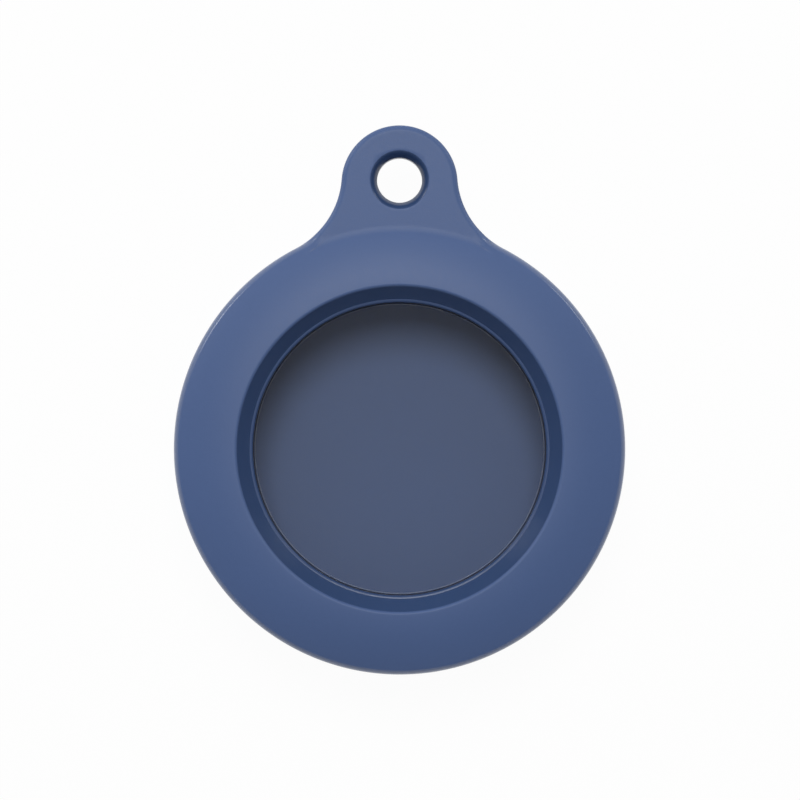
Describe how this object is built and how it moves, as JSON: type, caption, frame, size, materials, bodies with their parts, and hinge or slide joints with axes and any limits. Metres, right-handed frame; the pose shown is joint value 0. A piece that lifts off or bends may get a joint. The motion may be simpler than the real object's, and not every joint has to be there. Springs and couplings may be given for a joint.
{
  "type": "tracker tag holder",
  "caption": "Round holder for a coin-shaped tracker tag: domed front with a dished clear window, key loop at its edge, and a twist-off rear cover with a seal.",
  "frame": {"origin": "on the holder's axis, at the rear cover's flat rear face", "axes": "+Z along the holder's axis towards the window, +Y from the axis towards the key loop, +X to the right as seen from the front"},
  "size_m": [0.04, 0.0486, 0.014],
  "materials": {
    "shell_plastic": "fine matte moulded texture, slate blue",
    "clear_pane": "clear polished, lightly smoked",
    "adhesive": "matte black die-cut adhesive",
    "foam": "closed-cell foam, charcoal",
    "seal_rubber": "satin black, lightly greased"
  },
  "bodies": {
    "holder": {"front_shell": "shell_plastic", "window_pane": "clear_pane", "window_gasket": "adhesive", "front_cushion": "foam"},
    "seal": {"cover_seal": "seal_rubber"},
    "cover": {"rear_cover": "shell_plastic", "rear_cushion": "foam"}
  },
  "joints": [
    {"name": "cover_lift", "type": "slide", "parent": "holder", "child": "seal", "axis": [0, 0, -1], "range_m": [0, 0.0151]},
    {"name": "cover_twist", "type": "hinge", "parent": "seal", "child": "cover", "pos_m": [0, 0, 0], "axis": [0, 0, -1], "range_deg": [0, 270]}
  ],
  "couplings": [
    {"joint": "cover_lift", "follows": "cover_twist", "m_per_rad": 0.0031831}
  ]
}
